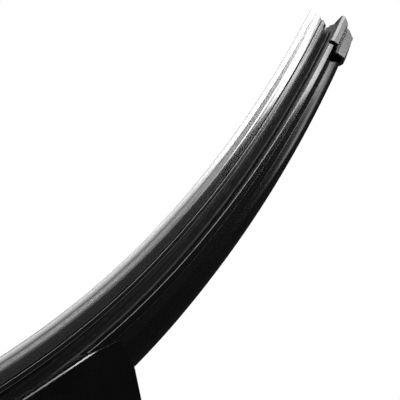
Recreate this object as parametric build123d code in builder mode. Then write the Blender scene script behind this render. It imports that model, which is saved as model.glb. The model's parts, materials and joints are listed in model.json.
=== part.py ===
from build123d import *
import os
from math import atan2, cos, pi, sin, sqrt

# A frameless (flat beam) windscreen wiper blade. Two curved spring rails carry a rubber strip. A steel
# bracket grips the rails at the centre, two spoilers clip on either side of it, and caps close the ends.
# The wiper arm plugs into an adapter that pivots on the bracket's rivet and is locked by a small flap.
# Frame: +X along the blade, +Z away from the glass, origin on the arm's seat in the adapter, over the pivot.
# Heights in the sections are from the middle of the rails, half-widths from the blade's centre plane.

# Driving dimensions, in millimetres
half_length = 300.0             # blade's centre to the outer end of a cap, along the rails
bow = [(105.0, 735.0), (198.0, 1025.0), (half_length, 1225.0)]     # end of each arc, and its radius
pivot_height = 11.0             # rivet's axis above the middle of the rails
seat_above_pivot = 4.5          # arm's seat above the rivet's axis

# Spring rails
rail_thickness = 0.9
rail_inner = 1.05
rail_outer = 5.2
rail_setback = 2.5              # from the blade's end to the rails' end
fit_gap = 0.1                   # room round a rail in every part that grips it

# Rubber strip
rubber_setback = 10.2
rubber_bevel = 0.15
head_half_width = 2.2
head_top = 1.85
under_flange = 3.3              # half-width of the flange below the rails
under_flange_low = -1.55
neck_top_half = 0.75
neck_foot_half = 1.5
shoulder_top = -3.4
shoulder_slope = 0.5            # how far the shoulder's top rises towards the neck
shoulder_crease = -4.85         # height below which the shoulder tapers
shoulder_low = -5.9
shoulder_top_half = 2.5
shoulder_half_width = 2.65
shoulder_foot_half = 2.5
hinge_half_width = 0.4          # thin web on which the lip tilts
wedge_top = -6.05
wedge_half_width = 1.9
wedge_turn = -7.6               # height below which the wedge rounds in
wedge_low = -8.9
wedge_low_half = 1.6
lip_root = -9.75
lip_root_half = 0.8
lip_edge = -11.0
lip_half_thickness = 0.38

# Spoilers
spoiler_clear = 1.1             # between the bracket's end and the spoiler's
spoiler_setback = 6.5
spoiler_top = 12.6
ridge_radius = 1.5
flank_half_width = 3.65
flank_low = 4.75                # foot of the upright flank
flank_high = 6.3                # where the flank starts to lean in
claw_wall = 1.0                 # thickness of the claws outside the rails
claw_lip = 0.95                 # thickness of the claws below the rails
claw_bevel = 0.22
claw_clear = 0.8                # between the claws' tips and the rubber's flange
skirt_inset = 0.4               # how far the skirt's foot lies inside the claws
skirt_low = 0.8
hollow_wall = 1.3
hollow_top_half = 0.9

# Steel bracket at the centre
sheet = 1.0
bracket_half_length = 36.5
bracket_bend = 0.4              # bevel that stands for the bends of the claws
bracket_corner = 1.8            # rounding of the claws' ends, seen from the side
hat_gap = 0.3                   # room over and beside the rubber's head
ear_half_length = 11.0
ear_root = 3.1                  # height at which the ears start to narrow
ear_top_radius = 4.3
rivet_radius = 2.25
rivet_head_radius = 4.2
rivet_head_height = 1.3
rivet_head_bevel = 0.8
head_gap = 0.2                  # room round the rivet's heads in the cover
run_gap = 0.05                  # radial running clearance of the pivot and of the flap's pin

# Moulded cover over the bracket
ear_gap = 0.4                   # between the bracket's ears and the cover
cover_wall = 1.7
cover_low = -2.75
cover_hem = 0.3                 # bevel along the lower edge
cover_foot = 0.5                # how far the foot along the lower edge hangs below it
cover_foot_inset = 0.4          # how far that foot lies inside the sides
cover_flat_half = 32.4          # straight stretch of the lower edge
cover_end_low = 49.4            # half-length at the end's lower corner
cover_end_rise = 1.3            # how much higher that corner lies than the straight stretch
cover_end_wall = 3.4
cover_crease = 6.5              # height at which the sides start to lean in
cover_end_crease = 52.4         # half-length at that height
cover_end_top = 51.7
cover_lean = 0.8                # how far the sides lean in up to the roof
cover_corner = 1.2              # bevel along the cover's upper edges
cover_end_bevel = 0.6           # bevel between the sides and the ends
bay_half_length = 38.0          # opening in the roof that the adapter stands in
bay_gap = 0.5
trough_rise = 1.0               # lowered roof of the end that the arm passes over, above the spoiler's ridge
trough_wall = 1.2
rib_station = 30.0              # ribs that stand on the bracket
rib_thickness = 2.0
rib_top = 5.6
spoiler_gap = 0.6               # room round the spoiler where it runs into the cover

# Arm adapter, its bush, flap and flap pin
adapter_gap = 0.1               # between the adapter and each ear
bush_wall = 0.75
bush_gap = 0.02                 # bush in its bore in the adapter
hub_wall = 1.3
floor_thickness = 1.9
adapter_rear = -22.0            # open end, where the arm goes in
adapter_front = 17.0            # axis of the flap's pin
cheek_wall = 1.2
cheek_slope = 2.7               # run of the cheeks' sloping rear edge
stop_face = 11.0                # wall that the arm's end meets
stop_wall = 1.6
stop_height = 3.6
pin_height = 3.4                # flap pin's axis above the arm's seat
pin_radius = 1.0
knuckle_radius = 2.0
flap_gap = 0.2
nose_gap = 0.4                  # floor's end behind the pin, clear of the open flap's nose
flap_thickness = 1.8
flap_rear = -20.5
flap_bevel = 0.6
grip_depth = 0.5                # ribs under the thumb at the flap's free end
grip_pitch = 1.8
grip_count = 4
core_length = 9.0               # pockets that lighten the adapter's underside
core_station = 9.75
core_wall = 2.4

# End caps
cap_length = 22.6
cap_mouth_rake = 1.0            # run of the sloping mouth for each millimetre of height
cap_brow_low = 12.2             # height at which the curved upper part of the mouth meets the brow
cap_brow_start = 14.4           # run of the mouth at the brow's lower edge
cap_brow_end = 16.0             # and at its upper one
cap_shell = 0.9                 # wall of the upper tier, which stands clear of the spoiler
cap_wall = 1.0                  # outside the spoiler's claws
cap_claw_floor = 0.7            # below the spoiler's claws
cap_claw_high = 1.2
cap_bevel = 0.5
cap_tier_low = 3.7              # foot of the upper tier's upright side
cap_tier_high = 7.8
cap_tier_inset = 0.95           # how far the upper tier lies inside the lower one
cap_groove_depth = 0.6          # of the groove between the two tiers, from the upper tier's side
cap_edge = 0.2                  # rounding along the tiers' edges at the groove
cap_crown = 1.3                 # above the spoiler's ridge
cap_ridge_half = 1.6
cap_end_round = 3.5             # rounding of the cap's upper end corner, seen from the side
cap_end_chamfer = 1.6           # cut off its lower end corner
cap_plan_round = 1.5            # rounding of its end corners, seen from above
cap_gap = 0.15                  # room round the spoiler inside the cap
arch_wall = 1.1                 # beside the arched opening below, at its foot
arch_top_half = 1.2
arch_top = 0.85

# Sizes that follow from these
seat_height = pivot_height + seat_above_pivot
rail_z = -seat_height
pivot_z = -seat_above_pivot
slot_half = rail_thickness / 2 + fit_gap
grip_outer = rail_outer + fit_gap
rail_half_length = half_length - rail_setback
rubber_half_length = half_length - rubber_setback
web_half_width = rail_inner - fit_gap
hat_half_width = head_half_width + hat_gap
hat_low = head_top + hat_gap
spoiler_start = bracket_half_length + spoiler_clear
spoiler_end = half_length - spoiler_setback
claw_half_width = grip_outer + claw_wall
claw_low = -slot_half - claw_lip
claw_tip = under_flange + claw_clear
skirt_half_width = claw_half_width - skirt_inset
plate_top = slot_half + sheet
bracket_half_width = grip_outer + sheet
shank_half = bracket_half_width + sheet
bush_radius = rivet_radius + run_gap + bush_wall
hub_radius = bush_radius + hub_wall
floor_front = adapter_front - nose_gap
adapter_half_width = bracket_half_width - adapter_gap
ear_top_height = pivot_height + ear_top_radius
cover_inside = shank_half + ear_gap
cover_half_width = cover_inside + cover_wall
cover_roof = ear_top_height + ear_gap
cover_top = cover_roof + cover_wall
cover_top_half_width = cover_half_width - cover_lean
bay_half_width = adapter_half_width + bay_gap
trough_floor = spoiler_top + trough_rise
tunnel_start = spoiler_start - spoiler_gap
cap_start = half_length - cap_length
cap_claw_half_width = claw_half_width + cap_wall
cap_claw_low = claw_low - cap_claw_floor
cap_tier_half_width = cap_claw_half_width - cap_tier_inset
cap_groove_half_width = cap_tier_half_width - cap_groove_depth
cap_top = spoiler_top + cap_crown
across = Plane(origin=(0, 0, rail_z), x_dir=(0, 1, 0), z_dir=(1, 0, 0))
along = Plane(origin=(0, 0, rail_z), x_dir=(1, 0, 0), z_dir=(0, -1, 0))
seat_side = Plane(origin=(0, 0, 0), x_dir=(1, 0, 0), z_dir=(0, -1, 0))
pivot_axis = Plane(origin=(0, 0, pivot_z), x_dir=(1, 0, 0), z_dir=(0, -1, 0))
pin_axis = Plane(origin=(adapter_front, 0, pin_height), x_dir=(1, 0, 0), z_dir=(0, -1, 0))

os.makedirs("parts", exist_ok=True)


# Where the rails run
def rail_spot(station):
    """x, z and downward turn of the rails' middle line at a distance along it from the blade's centre."""
    x, z, turn, start = 0.0, rail_z, 0.0, 0.0
    for end, radius in bow:
        step = min(abs(station), end) - start
        if step <= 0:
            break
        next_turn = turn + step / radius
        x += radius * (sin(next_turn) - sin(turn))
        z -= radius * (cos(turn) - cos(next_turn))
        turn, start = next_turn, end
    side = 1 if station >= 0 else -1
    return side * x, z, side * turn


def rail_point(station):
    """The rails' middle line as a point."""
    x, z, turn = rail_spot(station)
    return (x, 0, z)


def section_plane(station, aim=None):
    """Plane across the rails there: its x is the blade's Y, its y points away from the glass."""
    x, z, turn = rail_spot(station)
    if aim is not None:
        turn = rail_spot(aim)[2]
    return Plane(origin=(x, 0, z), x_dir=(0, 1, 0), z_dir=(cos(turn), 0, -sin(turn)))


def rail_path(start, end):
    """Tangent arcs along the rails from one station to another, drawn into the open line."""
    breaks = [limit * side for limit, radius in bow for side in (-1, 1)]
    stops = [start] + sorted(b for b in breaks if start < b < end) + [end]
    for first, last in zip(stops, stops[1:]):
        middle = (first + last) / 2
        ThreePointArc(rail_point(first), rail_point(middle), rail_point(last))


def side_view(station):
    """Plane seen from the side there: its x runs outward along the rails, its y away from the glass."""
    end = 1 if station >= 0 else -1
    section = section_plane(station)
    return Plane(origin=section.origin, x_dir=section.z_dir * end, z_dir=(0, -end, 0))


def both_sides(points):
    """Points of a symmetric section, from its right half's, which start and end on the centre line."""
    return points + [(-x, y) for x, y in reversed(points[1:-1])]


# Rubber strip
rubber_outline = [
    (0, head_top),
    (head_half_width - rubber_bevel, head_top),
    (head_half_width, head_top - rubber_bevel),
    (head_half_width, slot_half),
    (web_half_width, slot_half),
    (web_half_width, -slot_half),
    (under_flange - rubber_bevel, -slot_half),
    (under_flange, -slot_half - rubber_bevel),
    (under_flange, under_flange_low + rubber_bevel),
    (under_flange - rubber_bevel, under_flange_low),
    (neck_top_half, under_flange_low),
    (neck_foot_half, shoulder_top + shoulder_slope),
    (shoulder_top_half - rubber_bevel, shoulder_top),
    (shoulder_top_half, shoulder_top - rubber_bevel),
    (shoulder_half_width, shoulder_crease),
    (shoulder_foot_half, shoulder_low + rubber_bevel),
    (shoulder_foot_half - rubber_bevel, shoulder_low),
    (hinge_half_width, shoulder_low),
    (hinge_half_width, wedge_top),
    (wedge_half_width - rubber_bevel, wedge_top),
    (wedge_half_width, wedge_top - rubber_bevel),
    (wedge_half_width, wedge_turn),
    ((2 * wedge_half_width + wedge_low_half) / 3, (wedge_turn + 2 * wedge_low) / 3),
    (wedge_low_half, wedge_low),
    (lip_root_half, lip_root),
    (lip_half_thickness, lip_edge),
    (0, lip_edge),
]
with BuildPart() as rubber:
    with BuildLine() as rubber_line:
        rail_path(-rubber_half_length, rubber_half_length)
    with BuildSketch(section_plane(-rubber_half_length)):
        with BuildLine():
            Polyline(*both_sides(rubber_outline), close=True)
        make_face()
    sweep(path=rubber_line.line)
rubber.part.label = "wiper_rubber"
export_step(rubber.part, "parts/wiper_rubber.step")

# Spring rails, one each side of the rubber's web
for rail_name, side in (("spring_rail_near", 1), ("spring_rail_far", -1)):
    with BuildPart() as rail:
        with BuildLine() as rail_line:
            rail_path(-rail_half_length, rail_half_length)
        with BuildSketch(section_plane(-rail_half_length)):
            with Locations((side * (rail_inner + rail_outer) / 2, 0)):
                Rectangle(rail_outer - rail_inner, rail_thickness)
        sweep(path=rail_line.line)
    rail.part.label = rail_name
    export_step(rail.part, f"parts/{rail_name}.step")


# Spoilers
def on_arc(centre, radius, angle):
    """Point of a circle, at an angle from its right-hand side."""
    return (centre[0] + radius * cos(angle), centre[1] + radius * sin(angle))


def spoiler_outside(room=0.0):
    """Right half of the spoiler's outside, from its ridge to its upright flank, with room to spare:
    the flank's arc starts upright and runs into the ridge's, drawn into the open line."""
    ridge = (0, spoiler_top - ridge_radius)
    rise = ridge[1] - flank_high
    lean_in = flank_half_width - ridge_radius
    flank_radius = (flank_half_width ** 2 + rise ** 2 - ridge_radius ** 2) / (2 * lean_in)
    flank = (flank_half_width - flank_radius, flank_high)
    turn = atan2(rise, -flank[0])
    meet = on_arc(ridge, ridge_radius + room, turn)
    ThreePointArc((0, spoiler_top + room), on_arc(ridge, ridge_radius + room, (turn + pi / 2) / 2), meet)
    ThreePointArc(meet, on_arc(flank, flank_radius + room, turn / 2), (flank_half_width + room, flank_high))


def spoiler_skirt(room):
    """The rest of that outside, from the upright flank to the top of the claws, as points."""
    return [
        (flank_half_width + room, flank_high),
        (flank_half_width + room, flank_low + room),
        (skirt_half_width + room, skirt_low + room),
        (claw_half_width + room, skirt_low),
    ]


spoiler_foot = [
    (flank_half_width, flank_high),
    (flank_half_width, flank_low),
    (skirt_half_width, skirt_low),
    (skirt_half_width - claw_bevel, skirt_low - claw_bevel),
    (claw_half_width - claw_bevel, skirt_low - claw_bevel),
    (claw_half_width, skirt_low - 2 * claw_bevel),
    (claw_half_width, claw_low + claw_bevel),
    (claw_half_width - claw_bevel, claw_low),
    (claw_tip, claw_low),
    (claw_tip, -slot_half),
    (grip_outer, -slot_half),
    (grip_outer, slot_half),
    (hat_half_width, slot_half),
    (hat_half_width, hat_low),
    (0, hat_low),
]
hollow_low = hat_low + hollow_wall
hollow_outline = [
    (0, spoiler_top - 2 * hollow_wall),
    (hollow_top_half, spoiler_top - 2 * hollow_wall),
    (flank_half_width - hollow_wall, flank_high),
    (flank_half_width - hollow_wall, flank_low),
    (flank_half_width - hollow_wall / 2, hollow_low),
    (0, hollow_low),
]
for spoiler_name, first, last in (
    ("spoiler_outboard", spoiler_start, spoiler_end),
    ("spoiler_inboard", -spoiler_end, -spoiler_start),
):
    with BuildPart() as spoiler:
        with BuildLine() as spoiler_line:
            rail_path(first, last)
        with BuildSketch(section_plane(first)):
            with BuildLine():
                spoiler_outside()
                Polyline(*spoiler_foot)
                mirror(about=Plane.YZ)
            make_face()
            with BuildSketch(mode=Mode.SUBTRACT):
                with BuildLine():
                    Polyline(*both_sides(hollow_outline), close=True)
                make_face()
        sweep(path=spoiler_line.line)
    spoiler.part.label = spoiler_name
    export_step(spoiler.part, f"parts/{spoiler_name}.step")

# Steel bracket: claws crimped round the rails, and two ears for the rivet
bracket_outline = [
    (0, hat_low + sheet),
    (hat_half_width + sheet, hat_low + sheet),
    (hat_half_width + sheet, plate_top),
    (bracket_half_width - bracket_bend, plate_top),
    (bracket_half_width, plate_top - bracket_bend),
    (bracket_half_width, bracket_bend - plate_top),
    (bracket_half_width - bracket_bend, -plate_top),
    (claw_tip, -plate_top),
    (claw_tip, -slot_half),
    (grip_outer, -slot_half),
    (grip_outer, slot_half),
    (hat_half_width, slot_half),
    (hat_half_width, hat_low),
    (0, hat_low),
]
with BuildPart() as bracket:
    with BuildLine() as bracket_line:
        rail_path(-bracket_half_length, bracket_half_length)
    with BuildSketch(section_plane(-bracket_half_length)):
        with BuildLine():
            Polyline(*both_sides(bracket_outline), close=True)
        make_face()
    sweep(path=bracket_line.line)
    for side in (-1, 1):
        ear_plane = Plane(origin=(0, side * bracket_half_width, rail_z), x_dir=(1, 0, 0), z_dir=(0, -1, 0))
        with BuildSketch(ear_plane):
            with BuildLine():
                Polyline(
                    (-ear_top_radius, pivot_height),
                    (-ear_half_length, ear_root),
                    (-ear_half_length, -slot_half),
                    (ear_half_length, -slot_half),
                    (ear_half_length, ear_root),
                    (ear_top_radius, pivot_height),
                )
                ThreePointArc(
                    (ear_top_radius, pivot_height),
                    (0, ear_top_height),
                    (-ear_top_radius, pivot_height),
                )
            make_face()
            with Locations((0, pivot_height)):
                Circle(rivet_radius + run_gap, mode=Mode.SUBTRACT)
        extrude(amount=-side * sheet)
    for end in (-1, 1):
        with BuildSketch(side_view(end * bracket_half_length)):
            with BuildLine():
                Polyline((-bracket_corner, -plate_top), (0, -plate_top), (0, bracket_corner - plate_top))
                RadiusArc((0, bracket_corner - plate_top), (-bracket_corner, -plate_top), bracket_corner)
            make_face()
        extrude(amount=bracket_half_width, both=True, mode=Mode.SUBTRACT)
bracket.part.label = "connector_bracket"
export_step(bracket.part, "parts/connector_bracket.step")

# Rivet through both ears, with a bevelled head each side
with BuildPart() as rivet:
    with BuildSketch(pivot_axis):
        Circle(rivet_radius)
    extrude(amount=shank_half, both=True)
    for side in (-1, 1):
        with BuildSketch(Plane(origin=(0, side * shank_half, pivot_z), x_dir=(1, 0, 0), z_dir=(0, side, 0))):
            Circle(rivet_head_radius)
        extrude(amount=rivet_head_height)
    chamfer(rivet.edges().filter_by(GeomType.CIRCLE).group_by(Axis.Y)[0], rivet_head_bevel)
    chamfer(rivet.edges().filter_by(GeomType.CIRCLE).group_by(Axis.Y)[-1], rivet_head_bevel)
rivet.part.label = "pivot_rivet"
export_step(rivet.part, "parts/pivot_rivet.step")

# Bush that the adapter turns on
with BuildPart() as bush:
    with BuildSketch(pivot_axis):
        Circle(bush_radius)
        Circle(rivet_radius + run_gap, mode=Mode.SUBTRACT)
    extrude(amount=adapter_half_width, both=True)
bush.part.label = "pivot_bush"
export_step(bush.part, "parts/pivot_bush.step")

# Cover over the bracket: a hood with leaning shoulders, open below and over the adapter
cover_side = [
    (0, cover_top),
    (cover_end_top - 2 * cover_corner, cover_top),
    (cover_end_top, cover_top - 2 * cover_corner),
    (cover_end_crease, cover_crease),
    (cover_end_low, cover_low + cover_end_rise),
    (cover_flat_half, cover_low),
    (0, cover_low),
]
cover_section = [
    (0, cover_top),
    (cover_top_half_width - cover_corner, cover_top),
    (cover_top_half_width, cover_top - cover_corner),
    (cover_half_width, cover_crease),
    (cover_half_width, cover_low + cover_hem),
    (cover_half_width - cover_hem, cover_low),
    (0, cover_low),
]
with BuildPart() as cover:
    with BuildSketch(along):
        with BuildLine():
            Polyline(*both_sides(cover_side), close=True)
        make_face()
    extrude(amount=cover_half_width, both=True)
    with BuildSketch(across):
        with BuildLine():
            Polyline(*both_sides(cover_section), close=True)
        make_face()
    extrude(amount=cover_end_crease, both=True, mode=Mode.INTERSECT)
    end_edges = cover.edges().filter_by(
        lambda edge: abs(edge.center().X) > cover_end_low and abs(edge.center().Y) > cover_top_half_width
    )
    end_bevels = []
    for edge in end_edges:
        side, end = [face.normal_at(edge.center()) for face in cover.faces() if edge in face.edges()]
        outward = side + end
        depth = cover_end_bevel * sqrt(1 - outward.length ** 2 / 4)
        end_bevels.append(Plane(edge.center() - outward.normalized() * depth, z_dir=outward))
    for bevel in end_bevels:
        split(bisect_by=bevel, keep=Keep.BOTTOM)
    with BuildSketch(across):
        with Locations((0, (cover_roof + cover_low) / 2)):
            Rectangle(2 * cover_inside, cover_roof - cover_low)
    extrude(amount=cover_end_low - cover_end_wall, both=True, mode=Mode.SUBTRACT)
    with BuildSketch(Plane.XY.offset(rail_z + cover_roof)):
        Rectangle(2 * bay_half_length, 2 * bay_half_width)
    extrude(amount=cover_wall, mode=Mode.SUBTRACT)
    with BuildSketch(Plane.XY.offset(rail_z + trough_floor)):
        with Locations((-(cover_end_crease + bay_half_length) / 2, 0)):
            Rectangle(cover_end_crease - bay_half_length, 2 * bay_half_width)
    extrude(amount=cover_top - trough_floor, mode=Mode.SUBTRACT)
    with BuildSketch(Plane.XY.offset(rail_z + trough_floor)):
        with Locations((-(cover_end_low + bay_half_length) / 2, 0)):
            Rectangle(cover_end_low - bay_half_length, cover_inside + cover_half_width)
    extrude(amount=-trough_wall)
    for side in (-1, 1):
        with BuildSketch(along.offset(-side * (cover_half_width - cover_foot_inset))):
            with Locations((0, cover_low)):
                SlotOverall(2 * cover_flat_half, 2 * cover_foot)
        extrude(amount=side * (cover_wall - cover_foot_inset))
    for end in (-1, 1):
        with BuildSketch(section_plane(end * tunnel_start, aim=end * cover_end_low)):
            with BuildLine():
                spoiler_outside(spoiler_gap)
                Polyline(
                    *spoiler_skirt(spoiler_gap),
                    (claw_half_width + spoiler_gap, 2 * cover_low),
                    (0, 2 * cover_low),
                )
                mirror(about=Plane.YZ)
            make_face()
        extrude(amount=end * (cover_end_crease - tunnel_start + spoiler_gap), mode=Mode.SUBTRACT)
    rib_foot = rail_spot(rib_station + rib_thickness / 2)[1] - rail_z + plate_top + fit_gap
    rib_inner = hat_half_width + sheet + fit_gap
    rib_outer = (cover_inside + cover_half_width) / 2
    with BuildSketch(Plane.XY.offset(rail_z + rib_top)):
        with GridLocations(2 * rib_station, rib_inner + rib_outer, 2, 2):
            Rectangle(rib_thickness, rib_outer - rib_inner)
    extrude(amount=rib_foot - rib_top)
    with BuildSketch(pivot_axis):
        Circle(rivet_head_radius + head_gap)
    extrude(amount=cover_half_width, both=True, mode=Mode.SUBTRACT)
cover.part.label = "bracket_cover"
export_step(cover.part, "parts/bracket_cover.step")

# Adapter: a hub on the bush, and above it the channel that the arm's end slides into
with BuildPart() as adapter:
    with BuildSketch(seat_side):
        with BuildLine():
            Polyline(
                (adapter_rear, 0),
                (floor_front, 0),
                (floor_front, -floor_thickness),
                (hub_radius, pivot_z),
                (-hub_radius, pivot_z),
                (adapter_rear, -floor_thickness),
                close=True,
            )
        make_face()
        with Locations((0, pivot_z)):
            Circle(hub_radius)
    extrude(amount=adapter_half_width, both=True)
    for side in (-1, 1):
        with BuildSketch(seat_side.offset(-side * adapter_half_width)):
            with BuildLine():
                Polyline(
                    (adapter_front, pin_height + knuckle_radius),
                    (adapter_rear + cheek_slope, pin_height + knuckle_radius),
                    (adapter_rear, 0),
                    (adapter_rear, -floor_thickness),
                    (floor_front, -floor_thickness),
                    (floor_front, pin_height),
                    (adapter_front, pin_height),
                    close=True,
                )
            make_face()
            with Locations((adapter_front, pin_height)):
                Circle(knuckle_radius)
            with Locations((adapter_front, pin_height)):
                Circle(pin_radius, mode=Mode.SUBTRACT)
        extrude(amount=side * cheek_wall)
    with BuildSketch(Plane.XY):
        with Locations((stop_face + stop_wall / 2, 0)):
            Rectangle(stop_wall, 2 * adapter_half_width)
    extrude(amount=stop_height)
    for side in (-1, 1):
        with BuildSketch(Plane.XY.offset(-floor_thickness)):
            with Locations((side * core_station, 0)):
                Rectangle(core_length, 2 * (adapter_half_width - core_wall))
        extrude(amount=-seat_height, mode=Mode.SUBTRACT)
    with BuildSketch(pivot_axis):
        Circle(bush_radius + bush_gap)
    extrude(amount=adapter_half_width, both=True, mode=Mode.SUBTRACT)
adapter.part.label = "arm_adapter"
export_step(adapter.part, "parts/arm_adapter.step")

# Pin of the flap, held in the adapter's cheeks
with BuildPart() as pin:
    with BuildSketch(pin_axis):
        Circle(pin_radius)
    extrude(amount=adapter_half_width, both=True)
pin.part.label = "flap_pin"
export_step(pin.part, "parts/flap_pin.step")

# Flap that closes over the arm's end, with a nose that curls round the pin
flap_inner = knuckle_radius + flap_gap
flap_outer = flap_inner + flap_thickness
flap_tail = flap_rear - adapter_front
knuckle_half = adapter_half_width - cheek_wall - flap_gap
with BuildPart() as flap:
    with BuildSketch(pin_axis):
        with BuildLine():
            Polyline(
                (0, flap_inner),
                (flap_tail, flap_inner),
                (flap_tail, flap_inner + flap_thickness / 2),
                (flap_tail + flap_thickness, flap_outer),
                (0, flap_outer),
            )
            RadiusArc((0, flap_outer), (flap_outer, 0), flap_outer)
            Line((flap_outer, 0), (flap_inner, 0))
            RadiusArc((flap_inner, 0), (0, flap_inner), -flap_inner)
        make_face()
    extrude(amount=adapter_half_width, both=True)
    chamfer(flap.edges().filter_by(Axis.X).group_by(Axis.Z)[-1], flap_bevel)
    with BuildSketch(pin_axis):
        Circle(knuckle_radius)
        with Locations((0, flap_inner / 2)):
            Rectangle(2 * pin_radius, flap_inner)
    extrude(amount=knuckle_half, both=True)
    with BuildSketch(pin_axis):
        Circle(pin_radius + run_gap)
    extrude(amount=adapter_half_width, both=True, mode=Mode.SUBTRACT)
    with BuildSketch(Plane.XY.offset(pin_height + flap_outer)):
        with Locations((flap_rear + flap_thickness + grip_pitch * (grip_count + 1) / 2, 0)):
            with GridLocations(grip_pitch, 0, grip_count, 1):
                Rectangle(grip_pitch / 2, 2 * knuckle_half)
    extrude(amount=-grip_depth, mode=Mode.SUBTRACT)
flap.part.label = "lock_flap"
export_step(flap.part, "parts/lock_flap.step")

# End caps, pushed over the ends of the rails and the spoiler
rake_foot = cap_claw_high + cap_bevel
brow_foot = ((cap_tier_high - rake_foot) * cap_mouth_rake, cap_tier_high)
cap_outline = [
    (0, cap_top),
    (cap_ridge_half, cap_top - cap_bevel),
    (cap_tier_half_width - 2 * cap_bevel, cap_tier_high + 2 * cap_bevel),
    (cap_tier_half_width, cap_tier_high),
    (cap_tier_half_width, cap_tier_low),
    (cap_groove_half_width, cap_tier_low - cap_edge),
    (cap_claw_half_width - cap_edge, cap_claw_high + cap_edge),
    (cap_claw_half_width, cap_claw_high),
    (cap_claw_half_width, cap_claw_low + 2 * cap_bevel),
    (cap_claw_half_width - cap_bevel, cap_claw_low),
    (0, cap_claw_low),
]
cap_hood = [*cap_outline[:5], (0, cap_tier_low)]
cap_pocket = [
    *spoiler_skirt(cap_gap),
    (claw_half_width + cap_gap, claw_low - cap_gap),
    (0, claw_low - cap_gap),
]
cap_arch = [
    (0, arch_top),
    (arch_top_half, arch_top),
    (cap_claw_half_width - arch_wall, cap_claw_low),
    (0, cap_claw_low),
]
for cap_name, end in (("end_cap_outboard", 1), ("end_cap_inboard", -1)):
    mouth = section_plane(end * cap_start, aim=end * (cap_start + half_length) / 2)
    outward = mouth.z_dir * end
    profile_view = Plane(origin=mouth.origin, x_dir=outward, z_dir=(0, -end, 0))
    plan_view = Plane(origin=mouth.origin, x_dir=outward, z_dir=mouth.y_dir)
    with BuildPart() as cap:
        with BuildSketch(mouth):
            with BuildLine():
                Polyline(*both_sides(cap_outline), close=True)
            make_face()
        extrude(amount=end * cap_length)
        with BuildSketch(profile_view):
            with BuildLine():
                TangentArc(brow_foot, (cap_brow_start, cap_brow_low), tangent=(cap_mouth_rake, 1))
                Polyline(
                    (cap_brow_start, cap_brow_low),
                    (cap_brow_end, cap_top),
                    (cap_length - cap_end_round, cap_top),
                )
                Polyline(
                    brow_foot,
                    (0, rake_foot),
                    ((cap_claw_high - cap_claw_low) * cap_mouth_rake, cap_claw_high),
                    (0, cap_claw_low),
                    (cap_length - cap_end_chamfer, cap_claw_low),
                    (cap_length, cap_claw_low + cap_end_chamfer),
                    (cap_length, cap_top - cap_end_round),
                )
                RadiusArc(
                    (cap_length, cap_top - cap_end_round),
                    (cap_length - cap_end_round, cap_top),
                    -cap_end_round,
                )
            make_face()
        extrude(amount=cap_claw_half_width, both=True, mode=Mode.INTERSECT)
        with BuildSketch(plan_view):
            with BuildLine():
                FilletPolyline(
                    (0, -cap_claw_half_width),
                    (cap_length, -cap_claw_half_width),
                    (cap_length, cap_claw_half_width),
                    (0, cap_claw_half_width),
                    radius=cap_plan_round,
                )
                Line((0, cap_claw_half_width), (0, -cap_claw_half_width))
            make_face()
        extrude(amount=2 * cap_top, both=True, mode=Mode.INTERSECT)
        with BuildSketch(mouth):
            with BuildLine():
                spoiler_outside(cap_gap)
                Polyline(*cap_pocket)
                mirror(about=Plane.YZ)
            make_face()
        extrude(amount=end * (spoiler_end - cap_start + cap_gap), mode=Mode.SUBTRACT)
        with BuildSketch(mouth):
            with BuildLine():
                Polyline(*both_sides(cap_hood), close=True)
            make_face()
            offset(amount=-cap_shell, kind=Kind.INTERSECTION, mode=Mode.REPLACE)
        extrude(amount=end * (spoiler_end - cap_start + cap_gap), mode=Mode.SUBTRACT)
        with BuildSketch(mouth):
            Rectangle(2 * grip_outer, 2 * slot_half)
        extrude(amount=end * (rail_half_length - cap_start + cap_gap), mode=Mode.SUBTRACT)
        with BuildSketch(mouth):
            with BuildLine():
                Polyline(*both_sides(cap_arch), close=True)
            make_face()
        extrude(amount=end * cap_length, mode=Mode.SUBTRACT)
    cap.part.label = cap_name
    export_step(cap.part, f"parts/{cap_name}.step")
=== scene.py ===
import json
from math import atan2, cos, pi, radians, sin

import bmesh
import bpy
from mathutils import Matrix, Vector


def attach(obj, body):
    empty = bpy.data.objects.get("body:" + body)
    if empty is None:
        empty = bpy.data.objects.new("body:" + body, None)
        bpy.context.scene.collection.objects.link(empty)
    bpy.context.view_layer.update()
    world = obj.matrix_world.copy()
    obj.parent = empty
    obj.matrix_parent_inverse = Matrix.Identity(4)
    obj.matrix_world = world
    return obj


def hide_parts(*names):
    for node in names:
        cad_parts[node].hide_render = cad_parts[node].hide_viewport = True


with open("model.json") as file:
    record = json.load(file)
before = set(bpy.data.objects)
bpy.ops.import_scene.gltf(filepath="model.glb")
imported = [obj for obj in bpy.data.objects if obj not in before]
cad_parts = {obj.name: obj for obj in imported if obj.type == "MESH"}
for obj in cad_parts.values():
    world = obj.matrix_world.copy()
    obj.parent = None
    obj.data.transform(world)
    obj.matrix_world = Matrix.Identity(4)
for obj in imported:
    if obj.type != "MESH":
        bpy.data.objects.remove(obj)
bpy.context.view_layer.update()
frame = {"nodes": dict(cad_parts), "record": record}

MM = 0.001                  # a millimetre, in metres

# Camera at the photograph's angle: the blade is seen from its lip side, so the picture's top is -Z
CAMERA_PLACE = Vector((-0.35780, 0.22353, -0.08606))
CAMERA_TARGET = Vector((0.14067, -0.00021, -0.03535))
CAMERA_UP = Vector((0.20602, 0.24381, -0.94769))
CAMERA_LENS_MM = 172.64
SENSOR_MM = 36.0
NEAREST_SEEN = 0.01

# Studio, in metres
FLOOR_HEIGHT = -0.46
FLOOR_SIZE = 12.0
FLOOR_GREY = 0.85
FLOOR_ROUGHNESS = 0.8
FLOOR_SEEN = 0.9            # the pale floor's own level for the camera and for matt surfaces
ROOM_LIGHT = 0.01           # dim room round the lamps; the camera sees it white
ROOM_MIRRORED = 0.02        # the same room, as glossy surfaces mirror it
PANELS_AT = 0.56            # X of the narrow panels beyond the outboard tip, which face the blade

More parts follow.
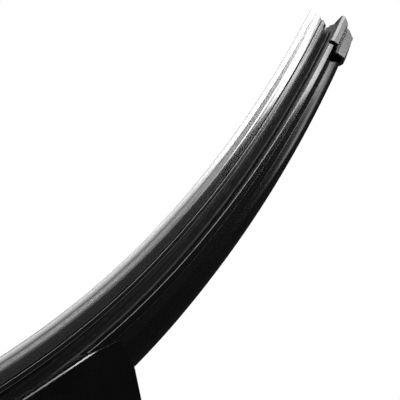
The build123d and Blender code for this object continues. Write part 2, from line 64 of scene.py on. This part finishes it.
# Rails, in millimetres
BOW = ((105.0, 735.0), (198.0, 1025.0), (300.0, 1225.0))    # end of each tangent arc, and its radius
RAIL_HEIGHT = -15.5         # rails' middle at the blade's centre
SLOT_HALF = 0.55            # half the height of the slots that hold the rails

# Rubber's section, in millimetres: heights from the rails' middle, half-widths from the centre plane
RUBBER_END = 289.8          # from the blade's centre to the rubber's end, along the rails
RUBBER_STEPS = 140
HEAD_TOP = 1.85
HEAD_HALF = 2.2
WEB_HALF = 0.95
FLANGE_HALF = 3.3
FLANGE_LOW = -1.55
NECK_TOP_HALF = 0.75
NECK_FOOT = -2.9
NECK_FOOT_HALF = 1.5
SHOULDER_TOP = -3.4
SHOULDER_TOP_HALF = 2.5
CREASE_TOP = -4.74          # fine groove line along the shoulder
CREASE_TOP_HALF = 2.65
CREASE = -4.85
CREASE_HALF = 2.56
CREASE_LOW = -4.95
CREASE_LOW_HALF = 2.63
SHOULDER_LOW = -5.9
SHOULDER_LOW_HALF = 2.5
HINGE_HALF = 0.4
WEDGE_TOP = -6.05
WEDGE_HALF = 1.9
WEDGE_TURN = -7.6           # height below which the wedge rounds in
WEDGE_ROUND = -8.47
WEDGE_ROUND_HALF = 1.8
WEDGE_LOW = -8.9
WEDGE_LOW_HALF = 1.6
LIP_ROOT = -9.75
LIP_ROOT_HALF = 0.8
LIP_EDGE = -10.98
LIP_HALF = 0.4

# Spoilers' section, measured in the same way
SPOILER_START = 37.6        # from the blade's centre to the spoilers' ends, along the rails
SPOILER_END = 293.5
SPOILER_STEPS = 64
RIDGE_TOP = 12.6
RIDGE_RADIUS = 1.5
RIDGE_PIECES = 8
FLANK_HIGH = 6.3            # height above which the flank leans in
FLANK_LOW = 4.75
FLANK_HALF = 3.65
FLANK_PIECES = 12
SKIRT_LOW = 0.8
SKIRT_HALF = 5.9
CLAW_GROOVE = 0.22          # how far the groove between the skirt and the claws is cut in
CLAW_TOP = 0.5
CLAW_HALF = 6.3
CLAW_LOW = -1.5
CLAW_TIP = 4.1
GRIP_HALF = 5.3             # inside of the claws, round the rails' outer edges
POCKET_TOP = 2.15           # pocket over the rubber's head
POCKET_HALF = 2.5

# Edges, with widths in metres
CORNER_PIECES = 3           # straight pieces in a rounded corner of a section
CORNER_SHARE = 0.45         # share of a side that the rounding of a corner may take
STRIP_SHARP = radians(40)   # edges of the strips that turn more stay sharp
WELD_REACH = 0.000002       # points of the solids that lie closer are joined
EDGE_TURN = radians(32)     # edges of the solids that turn more are rounded
EDGE_SEGMENTS = 2
EDGE_WIDTHS = {
    "bracket_cover": 0.00015,
    "end_cap_outboard": 0.00012,
    "end_cap_inboard": 0.00012,
    "connector_bracket": 0.0002,
    "arm_adapter": 0.0002,
    "lock_flap": 0.0002,
}

# Finishes: scales of noise per metre, swings of roughness to either side, depths in metres
NOISE_SPAN = (0.3, 0.7)     # most of a noise's values
YES_NO = (0.0, 1.0)         # a light path's two values
CLOUD_SCALE = 90.0
CLOUD_SWING = 0.04
GRAIN_STRENGTH = 0.5
LINE_STRETCH = 3.0          # noise along the draw lines
LINE_SWING = 0.01
LINE_DEPTH = 0.00000005
LINE_STRENGTH = 0.3
PATCH_SCALE = 220.0
PATCH_SWING = 0.06
PEEL_SCALE = 900.0
PEEL_DEPTH = 0.00001
PEEL_STRENGTH = 0.4

# Rubber's finish and the painted highlight on its lip, by height in its section (metres from the rails'
# middle)
LIP_HIGHLIGHT_HEIGHTS = (-0.0098, -0.0107)        # colour fades from black to a pale lip, a painted highlight
# pale colour painted on the lip as a highlight, not the rubber's own colour
LIP_HIGHLIGHT_COLOUR = (0.6, 0.6, 0.6)
COAT_HEIGHTS = (-0.0059, -0.0061)       # a graphite coat starts at the wedge
COAT_IOR = 1.8
GRAPHITE = (0.032, 0.032, 0.032)
NECK_HEIGHTS = (-0.0032, -0.0029)       # glossy below, matt above
NECK_ROUGHNESS = 0.45

nodes = frame["nodes"]


# Materials
def new_material(name, colour, roughness):
    """A material with one Principled shader, its node tree and that shader."""
    material = bpy.data.materials.new(name)
    material.use_nodes = True
    shader = material.node_tree.nodes["Principled BSDF"]
    shader.inputs["Base Color"].default_value = (*colour, 1.0)
    shader.inputs["Roughness"].default_value = roughness
    return material, material.node_tree, shader


def add_node(tree, kind, **settings):
    """A node with its attributes set."""
    node = tree.nodes.new(kind)
    for key, value in settings.items():
        setattr(node, key, value)
    return node


def noise(tree, space, scale, stretch=(1, 1, 1)):
    """Noise in the object's own metres or along a strip's UV map, stretched along its axes."""
    place = add_node(tree, "ShaderNodeTexCoord")
    mapping = add_node(tree, "ShaderNodeMapping")
    mapping.inputs["Scale"].default_value = stretch
    texture = add_node(tree, "ShaderNodeTexNoise")
    texture.inputs["Scale"].default_value = scale
    tree.links.new(place.outputs[space], mapping.inputs["Vector"])
    tree.links.new(mapping.outputs["Vector"], texture.inputs["Vector"])
    return texture.outputs["Fac"]


def spread(tree, value, low, high, span=NOISE_SPAN):
    """A number's span, from its first end to its second, spread from low to high."""
    reach = add_node(tree, "ShaderNodeMapRange")
    reach.inputs["From Min"].default_value, reach.inputs["From Max"].default_value = span
    reach.inputs["To Min"].default_value = low
    reach.inputs["To Max"].default_value = high
    tree.links.new(value, reach.inputs["Value"])
    return reach.outputs["Result"]


def larger(tree, first, second):
    """The larger of two numbers."""
    node = add_node(tree, "ShaderNodeMath", operation="MAXIMUM")
    tree.links.new(first, node.inputs[0])
    tree.links.new(second, node.inputs[1])
    return node.outputs["Value"]


def shade_between(tree, value, dark, light):
    """A colour between two, by a number from 0 to 1. The dark one may come from another node."""
    mix = add_node(tree, "ShaderNodeMix", data_type="RGBA")
    if isinstance(dark, tuple):
        mix.inputs["A"].default_value = (*dark, 1.0)
    else:
        tree.links.new(dark, mix.inputs["A"])
    mix.inputs["B"].default_value = (*light, 1.0)
    tree.links.new(value, mix.inputs["Factor"])
    return mix.outputs["Result"]


def vary(tree, shader, pattern, dark, light, roughness, swing):
    """Colour between two and roughness within its swing, both by a pattern."""
    colour = shade_between(tree, spread(tree, pattern, 0, 1), dark, light)
    gloss = spread(tree, pattern, roughness - swing, roughness + swing)
    tree.links.new(colour, shader.inputs["Base Color"])
    tree.links.new(gloss, shader.inputs["Roughness"])


def bump(tree, shader, height, distance, strength):
    """Surface relief of a depth in metres."""
    relief = add_node(tree, "ShaderNodeBump")
    relief.inputs["Distance"].default_value = distance
    relief.inputs["Strength"].default_value = strength
    tree.links.new(height, relief.inputs["Height"])
    tree.links.new(relief.outputs["Normal"], shader.inputs["Normal"])


def grey(value):
    """A neutral colour."""
    return (value, value, value)


def moulded(name, dark, light, roughness, grain_scale, grain_depth):
    """Moulded plastic: fine grain, a little cloudiness in colour and gloss."""
    material, tree, shader = new_material(name, dark, roughness)
    vary(tree, shader, noise(tree, "Object", CLOUD_SCALE), dark, light, roughness, CLOUD_SWING)
    bump(tree, shader, noise(tree, "Object", grain_scale), grain_depth, GRAIN_STRENGTH)
    return material


def draw_lines(tree, shader, lines):
    """Fine draw lines along a strip as relief, and their pattern."""
    pattern = noise(tree, "UV", 1.0, (LINE_STRETCH, lines, 1))
    bump(tree, shader, pattern, LINE_DEPTH, LINE_STRENGTH)
    return pattern


def extruded(name, dark, light, roughness, lines):
    """Extruded plastic: draw lines that show in colour and gloss too."""
    material, tree, shader = new_material(name, dark, roughness)
    vary(tree, shader, draw_lines(tree, shader, lines), dark, light, roughness, LINE_SWING)
    return material


def wiping_rubber(name, dark, light, roughness, lines):
    """Extruded rubber: matt at the neck, glossy below it, coated at the wedge, with a highlight painted
    as pale colour on its lip.
    """
    material, tree, shader = new_material(name, dark, roughness)
    black = shade_between(tree, spread(tree, draw_lines(tree, shader, lines), 0, 1), dark, light)
    place = add_node(tree, "ShaderNodeTexCoord")
    split = add_node(tree, "ShaderNodeSeparateXYZ")
    tree.links.new(place.outputs["UV"], split.inputs["Vector"])
    height = split.outputs["Y"]
    coated = spread(tree, height, 0, 1, COAT_HEIGHTS)
    wedge = shade_between(tree, coated, black, GRAPHITE)
    # the pale lip colour is a painted highlight that whitens the lip's edge
    lip = shade_between(tree, spread(tree, height, 0, 1, LIP_HIGHLIGHT_HEIGHTS), wedge, LIP_HIGHLIGHT_COLOUR)
    gloss = spread(tree, height, roughness, NECK_ROUGHNESS, NECK_HEIGHTS)
    tree.links.new(lip, shader.inputs["Base Color"])
    tree.links.new(gloss, shader.inputs["Roughness"])
    tree.links.new(coated, shader.inputs["Coat Weight"])
    shader.inputs["Coat Roughness"].default_value = roughness
    shader.inputs["Coat IOR"].default_value = COAT_IOR
    return material


def coated_steel(name, dark, light, roughness, metallic):
    """Steel with a thin coat: slight orange peel and patches of gloss."""
    material, tree, shader = new_material(name, dark, roughness)
    shader.inputs["Metallic"].default_value = metallic
    vary(tree, shader, noise(tree, "Object", PATCH_SCALE), dark, light, roughness, PATCH_SWING)
    bump(tree, shader, noise(tree, "Object", PEEL_SCALE), PEEL_DEPTH, PEEL_STRENGTH)
    return material


# Looks by slot: darkest and lightest colour, roughness, then lines per metre, grain or metal
looks = {
    "rubber": wiping_rubber("rubber", grey(0.005), grey(0.008), 0.16, 600.0),
    "spring_steel": coated_steel("spring_steel", grey(0.02), grey(0.03), 0.4, 0.0),
    "spoiler_plastic": extruded("spoiler_plastic", grey(0.003), grey(0.005), 0.17, 400.0),
    "cap_plastic": moulded("cap_plastic", grey(0.008), grey(0.011), 0.26, 2500.0, 0.000002),
    "bracket_steel": coated_steel("bracket_steel", grey(0.03), grey(0.045), 0.35, 0.0),
    "rivet_steel": coated_steel("rivet_steel", grey(0.42), grey(0.5), 0.32, 1.0),
    "bush_plastic": moulded("bush_plastic", (0.45, 0.45, 0.43), (0.52, 0.52, 0.5), 0.45, 2000.0, 0.00002),
    "cover_plastic": moulded("cover_plastic", grey(0.002), grey(0.003), 0.18, 2500.0, 0.000001),
    "adapter_plastic": moulded("adapter_plastic", grey(0.010), grey(0.014), 0.40, 2500.0, 0.00001),
}
slots = {part["node"]: part["material_slot"] for part in frame["record"]["subparts"]}
for node, slot in slots.items():
    mesh = nodes[node].data
    mesh.materials.clear()
    mesh.materials.append(looks[slot])


# Strips along the rails, in place of the rubber's and the spoilers' solids
def rail_spot(station):
    """x, z and downward turn of the rails' middle line at a distance along it from the centre."""
    x, z, turn, start = 0.0, RAIL_HEIGHT, 0.0, 0.0
    for end, radius in BOW:
        step = min(abs(station), end) - start
        if step <= 0:
            break
        next_turn = turn + step / radius
        x += radius * (sin(next_turn) - sin(turn))
        z -= radius * (cos(turn) - cos(next_turn))
        turn, start = next_turn, end
    side = 1 if station >= 0 else -1
    return side * x, z, side * turn


def softened(corners):
    """A closed outline with rounded corners, from its right half's (across, up, rounding) corners."""
    loop = corners + [(-x, y, r) for x, y, r in reversed(corners) if x > 0]
    points = []
    for index, (x, y, rounding) in enumerate(loop):
        here = Vector((x, y))
        before = Vector(loop[index - 1][:2]) - here
        after = Vector(loop[(index + 1) % len(loop)][:2]) - here
        cut = min(rounding, CORNER_SHARE * before.length, CORNER_SHARE * after.length)
        if cut <= 0:
            points.append(here)
            continue
        first = here + before.normalized() * cut
        last = here + after.normalized() * cut
        for step in range(CORNER_PIECES + 1):
            t = step / CORNER_PIECES
            points.append(first * (1 - t) ** 2 + here * (2 * t * (1 - t)) + last * t ** 2)
    return points


def strip(node, outline, start, end, steps):
    """A closed strip in place of a node: an outline round the rails' middle, carried along them.
    Its UV map holds the distance along the strip and the height in the outline, in metres."""
    count = len(outline)
    mesh_builder = bmesh.new()
    layer = mesh_builder.loops.layers.uv.new("strip")
    rows, spots = [], {}
    for index in range(steps + 1):
        station = start + (end - start) * index / steps
        x, z, turn = rail_spot(station)
        row = []
        for across, up in outline:
            place = (x + up * sin(turn), across, z + up * cos(turn))
            vertex = mesh_builder.verts.new([value * MM for value in place])
            spots[vertex] = (station * MM, up * MM)
            row.append(vertex)
        rows.append(row)
    for near, far in zip(rows, rows[1:]):
        for k in range(count):
            mesh_builder.faces.new((near[k], far[k], far[(k + 1) % count], near[(k + 1) % count]))
    mesh_builder.faces.new(rows[0])
    mesh_builder.faces.new(list(reversed(rows[-1])))
    for face in mesh_builder.faces:
        face.smooth = True
        for loop in face.loops:
            loop[layer].uv = spots[loop.vert]
    bmesh.ops.recalc_face_normals(mesh_builder, faces=mesh_builder.faces)
    mesh = bpy.data.meshes.new(node + "_strip")
    mesh_builder.to_mesh(mesh)
    mesh_builder.free()
    mesh.set_sharp_from_angle(angle=STRIP_SHARP)
    piece = bpy.data.objects.new(node + "_strip", mesh)
    bpy.context.scene.collection.objects.link(piece)
    slot = slots[node]
    mesh.materials.append(looks[slot])
    shading = piece.modifiers.new("shading", "WEIGHTED_NORMAL")
    shading.keep_sharp = True
    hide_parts(node)
    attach(piece, "blade")


def arc(centre, radius, start, end, pieces):
    """Points of an arc as corners that aren't rounded."""
    turns = [start + (end - start) * k / pieces for k in range(pieces + 1)]
    return [(centre[0] + radius * cos(t), centre[1] + radius * sin(t), 0) for t in turns]


rubber_half = [
    (0, HEAD_TOP, 0),
    (HEAD_HALF, HEAD_TOP, 0.2),
    (HEAD_HALF, SLOT_HALF, 0),
    (WEB_HALF, SLOT_HALF, 0),
    (WEB_HALF, -SLOT_HALF, 0),
    (FLANGE_HALF, -SLOT_HALF, 0.12),
    (FLANGE_HALF, FLANGE_LOW, 0.12),
    (NECK_TOP_HALF, FLANGE_LOW, 0.1),
    (NECK_FOOT_HALF, NECK_FOOT, 0.2),
    (SHOULDER_TOP_HALF, SHOULDER_TOP, 0.15),
    (CREASE_TOP_HALF, CREASE_TOP, 0.06),
    (CREASE_HALF, CREASE, 0.03),
    (CREASE_LOW_HALF, CREASE_LOW, 0.06),
    (SHOULDER_LOW_HALF, SHOULDER_LOW, 0.15),
    (HINGE_HALF, SHOULDER_LOW, 0),
    (HINGE_HALF, WEDGE_TOP, 0),
    (WEDGE_HALF, WEDGE_TOP, 0.2),
    (WEDGE_HALF, WEDGE_TURN, 0.5),
    (WEDGE_ROUND_HALF, WEDGE_ROUND, 0.4),
    (WEDGE_LOW_HALF, WEDGE_LOW, 0.2),
    (LIP_ROOT_HALF, LIP_ROOT, 0.3),
    (LIP_HALF, LIP_EDGE, 0.05),
    (0, LIP_EDGE, 0),
]
strip("wiper_rubber", softened(rubber_half), -RUBBER_END, RUBBER_END, RUBBER_STEPS)

ridge = (0, RIDGE_TOP - RIDGE_RADIUS)
rise = ridge[1] - FLANK_HIGH
flank_radius = (FLANK_HALF ** 2 + rise ** 2 - RIDGE_RADIUS ** 2) / (2 * (FLANK_HALF - RIDGE_RADIUS))
flank = (FLANK_HALF - flank_radius, FLANK_HIGH)
lean = atan2(rise, -flank[0])
spoiler_half = [
    *arc(ridge, RIDGE_RADIUS, pi / 2, lean, RIDGE_PIECES),
    *arc(flank, flank_radius, lean, 0, FLANK_PIECES)[1:],
    (FLANK_HALF, FLANK_LOW, 0.35),
    (SKIRT_HALF, SKIRT_LOW, 0.1),
    (SKIRT_HALF - CLAW_GROOVE, SKIRT_LOW - CLAW_GROOVE, 0.05),
    (CLAW_HALF, CLAW_TOP, 0.15),
    (CLAW_HALF, CLAW_LOW, 0.22),
    (CLAW_TIP, CLAW_LOW, 0.1),
    (CLAW_TIP, -SLOT_HALF, 0),
    (GRIP_HALF, -SLOT_HALF, 0),
    (GRIP_HALF, SLOT_HALF, 0),
    (POCKET_HALF, SLOT_HALF, 0),
    (POCKET_HALF, POCKET_TOP, 0),
    (0, POCKET_TOP, 0),
]
strip("spoiler_outboard", softened(spoiler_half), SPOILER_START, SPOILER_END, SPOILER_STEPS)
strip("spoiler_inboard", softened(spoiler_half), -SPOILER_END, -SPOILER_START, SPOILER_STEPS)

# Soft edges on the moulded and stamped parts: the solid's faces are joined first
for node, width in EDGE_WIDTHS.items():
    weld = nodes[node].modifiers.new("weld", "WELD")
    weld.merge_threshold = WELD_REACH
    edges = nodes[node].modifiers.new("edges", "BEVEL")
    edges.width = width
    edges.segments = EDGE_SEGMENTS
    edges.limit_method = "ANGLE"
    edges.angle_limit = EDGE_TURN
    edges.harden_normals = True


# Studio: floor, lamps and world
def stage_plane(name, corners, colour, roughness):
    """A flat card of the studio, given by its four corners."""
    mesh = bpy.data.meshes.new(name)
    mesh.from_pydata(corners, [], [(0, 1, 2, 3)])
    card = bpy.data.objects.new(name, mesh)
    bpy.context.scene.collection.objects.link(card)
    material, tree, shader = new_material(name, colour, roughness)
    sight = add_node(tree, "ShaderNodeLightPath")
    either = larger(tree, sight.outputs["Is Camera Ray"], sight.outputs["Is Diffuse Ray"])
    shader.inputs["Emission Color"].default_value = (1, 1, 1, 1)
    tree.links.new(spread(tree, either, 0, FLOOR_SEEN, YES_NO), shader.inputs["Emission Strength"])
    mesh.materials.append(material)


half_floor = FLOOR_SIZE / 2
floor_corners = [
    (-half_floor, -half_floor, FLOOR_HEIGHT),
    (half_floor, -half_floor, FLOOR_HEIGHT),
    (half_floor, half_floor, FLOOR_HEIGHT),
    (-half_floor, half_floor, FLOOR_HEIGHT),
]
stage_plane("floor", floor_corners, grey(FLOOR_GREY), FLOOR_ROUGHNESS)


def softbox(name, place, target, size, watts):
    """A rectangular lamp that faces a point."""
    data = bpy.data.lights.new(name, "AREA")
    data.shape = "RECTANGLE"
    data.size, data.size_y = size
    data.energy = watts
    lamp = bpy.data.objects.new(name, data)
    lamp.location = place
    lamp.rotation_euler = (Vector(target) - Vector(place)).to_track_quat("-Z", "Y").to_euler()
    bpy.context.scene.collection.objects.link(lamp)
    lamp.visible_camera = False


def panel(name, y, z, width, height, brightness):
    """A narrow lamp beyond the tip, of a given brightness (W per square metre and steradian)."""
    softbox(name, (PANELS_AT, y, z), (0, y, z), (width, height), pi * width * height * brightness)


# Softboxes: place, target, size and watts. Panels: Y, Z, width, height and brightness
softbox("key", (-0.55, 1.30, -0.25), (0.1, 0, -0.03), (1.6, 0.36), 8.0)
softbox("fill", (0.35, -1.30, 0.45), (0, 0, -0.03), (1.4, 0.9), 22.0)
softbox("overhead", (0.0, -0.3, 1.6), (0, 0, 0), (1.6, 1.6), 8.0)
panel("base_panel", 0.02, -0.355, 0.10, 0.09, 8.5)
panel("low_panel", 0.09, -0.245, 0.04, 0.13, 18.0)
panel("side_panel", 0.135, -0.190, 0.05, 0.10, 8.0)
panel("outer_panel", 0.178, -0.130, 0.056, 0.10, 9.0)
panel("middle_panel", 0.09, -0.105, 0.04, 0.05, 15.0)
panel("upper_panel", 0.13, -0.055, 0.04, 0.05, 6.0)
panel("high_panel", 0.09, 0.005, 0.04, 0.07, 1.2)

world = bpy.data.worlds.new("studio")
bpy.context.scene.world = world
world.use_nodes = True
tree = world.node_tree
background = tree.nodes["Background"]
sight = add_node(tree, "ShaderNodeLightPath")
white = larger(tree, sight.outputs["Is Camera Ray"], sight.outputs["Is Transmission Ray"])
room = spread(tree, sight.outputs["Is Glossy Ray"], ROOM_LIGHT, ROOM_MIRRORED, YES_NO)
background.inputs["Color"].default_value = (1, 1, 1, 1)
tree.links.new(larger(tree, white, room), background.inputs["Strength"])

# Camera
camera_data = bpy.data.cameras.new("camera")
camera_data.sensor_width = SENSOR_MM
camera_data.lens = CAMERA_LENS_MM
camera_data.clip_start = NEAREST_SEEN
camera = bpy.data.objects.new("camera", camera_data)
bpy.context.scene.collection.objects.link(camera)
back = (CAMERA_PLACE - CAMERA_TARGET).normalized()
right = CAMERA_UP.cross(back).normalized()
turn = Matrix((right, back.cross(right), back)).transposed().to_4x4()
camera.matrix_world = Matrix.Translation(CAMERA_PLACE) @ turn
bpy.context.scene.camera = camera
bpy.context.scene.view_settings.view_transform = "Standard"
